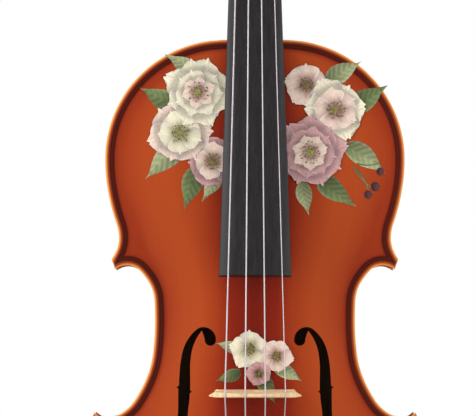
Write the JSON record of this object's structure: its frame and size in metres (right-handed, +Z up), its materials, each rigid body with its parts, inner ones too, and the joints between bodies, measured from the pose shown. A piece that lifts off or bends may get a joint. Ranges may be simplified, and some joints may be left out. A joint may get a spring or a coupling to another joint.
{
  "type": "violin",
  "caption": "Four-stringed bowed instrument with arched plates, f-shaped sound holes, pegs and fine tuners, hung by its neck.",
  "frame": {"origin": "in the middle of the neck just under the pegbox, where a wall hanger holds it", "axes": "+Z up along the strings towards the scroll, -Y out of the front, +X towards the highest string"},
  "size_m": [0.208, 0.095, 0.5934],
  "materials": {
    "spruce_front": "gloss",
    "varnished_maple": "gloss",
    "ebony": "satin",
    "bare_maple": "matte",
    "bare_spruce": "matte",
    "string_metal": "satin",
    "tuner_metal": "polished",
    "nylon": "matte"
  },
  "bodies": {
    "root": {"back": "varnished_maple", "bass_bar": "bare_spruce", "belly": "spruce_front", "bridge": "bare_maple", "corner_block_lower_bass": "bare_spruce", "corner_block_lower_treble": "bare_spruce", "corner_block_upper_bass": "bare_spruce", "corner_block_upper_treble": "bare_spruce", "end_block": "bare_spruce", "end_button": "ebony", "fingerboard": "ebony", "linings_back": "bare_spruce", "linings_belly": "bare_spruce", "neck": "varnished_maple", "neck_block": "bare_spruce", "nut": "ebony", "rib_lower_bass": "varnished_maple", "rib_lower_treble": "varnished_maple", "rib_upper_bass": "varnished_maple", "rib_upper_treble": "varnished_maple", "rib_waist_bass": "varnished_maple", "rib_waist_treble": "varnished_maple", "saddle": "ebony", "sound_post": "bare_spruce", "tail_gut": "nylon", "tailpiece": "ebony", "string_g": "string_metal", "string_d": "string_metal", "string_a": "string_metal", "string_e": "string_metal"},
    "peg_g": {"peg_g": "ebony"},
    "peg_d": {"peg_d": "ebony"},
    "peg_a": {"peg_a": "ebony"},
    "peg_e": {"peg_e": "ebony"},
    "tuner_screw_g": {"tuner_screw_g": "tuner_metal"},
    "tuner_lever_g": {"tuner_lever_g": "tuner_metal"},
    "tuner_screw_d": {"tuner_screw_d": "tuner_metal"},
    "tuner_lever_d": {"tuner_lever_d": "tuner_metal"},
    "tuner_screw_a": {"tuner_screw_a": "tuner_metal"},
    "tuner_lever_a": {"tuner_lever_a": "tuner_metal"},
    "tuner_screw_e": {"tuner_screw_e": "tuner_metal"},
    "tuner_lever_e": {"tuner_lever_e": "tuner_metal"}
  },
  "joints": [
    {"name": "peg_g_turn", "type": "hinge", "parent": "root", "child": "peg_g", "pos_m": [0, 0.00508, 0.02519], "axis": [-1, 0, 0], "continuous": true},
    {"name": "peg_d_turn", "type": "hinge", "parent": "root", "child": "peg_d", "pos_m": [0, 0.01249, 0.05173], "axis": [-1, 0, 0], "continuous": true},
    {"name": "peg_a_turn", "type": "hinge", "parent": "root", "child": "peg_a", "pos_m": [0, 0.01602, 0.06434], "axis": [1, 0, 0], "continuous": true},
    {"name": "peg_e_turn", "type": "hinge", "parent": "root", "child": "peg_e", "pos_m": [0, 0.00971, 0.03904], "axis": [1, 0, 0], "continuous": true},
    {"name": "tuner_screw_g_turn", "type": "hinge", "parent": "root", "child": "tuner_screw_g", "pos_m": [-0.01428, -0.03902, -0.39745], "axis": [0, -0.9903, -0.1392], "range_deg": [0, 720]},
    {"name": "tuner_lever_g_tilt", "type": "hinge", "parent": "root", "child": "tuner_lever_g", "pos_m": [-0.01428, -0.03377, -0.38661], "axis": [1, 0, 0], "range_deg": [0, 8]},
    {"name": "tuner_screw_d_turn", "type": "hinge", "parent": "root", "child": "tuner_screw_d", "pos_m": [-0.00476, -0.04123, -0.39776], "axis": [0, -0.9903, -0.1392], "range_deg": [0, 720]},
    {"name": "tuner_lever_d_tilt", "type": "hinge", "parent": "root", "child": "tuner_lever_d", "pos_m": [-0.00476, -0.03598, -0.38692], "axis": [1, 0, 0], "range_deg": [0, 8]},
    {"name": "tuner_screw_a_turn", "type": "hinge", "parent": "root", "child": "tuner_screw_a", "pos_m": [0.00476, -0.04123, -0.39776], "axis": [0, -0.9903, -0.1392], "range_deg": [0, 720]},
    {"name": "tuner_lever_a_tilt", "type": "hinge", "parent": "root", "child": "tuner_lever_a", "pos_m": [0.00476, -0.03598, -0.38692], "axis": [1, 0, 0], "range_deg": [0, 8]},
    {"name": "tuner_screw_e_turn", "type": "hinge", "parent": "root", "child": "tuner_screw_e", "pos_m": [0.01428, -0.03902, -0.39745], "axis": [0, -0.9903, -0.1392], "range_deg": [0, 720]},
    {"name": "tuner_lever_e_tilt", "type": "hinge", "parent": "root", "child": "tuner_lever_e", "pos_m": [0.01428, -0.03377, -0.38661], "axis": [1, 0, 0], "range_deg": [0, 8]}
  ],
  "couplings": [
    {"joint": "tuner_lever_g_tilt", "follows": "tuner_screw_g_turn", "ratio": 0.011111},
    {"joint": "tuner_lever_d_tilt", "follows": "tuner_screw_d_turn", "ratio": 0.011111},
    {"joint": "tuner_lever_a_tilt", "follows": "tuner_screw_a_turn", "ratio": 0.011111},
    {"joint": "tuner_lever_e_tilt", "follows": "tuner_screw_e_turn", "ratio": 0.011111}
  ]
}
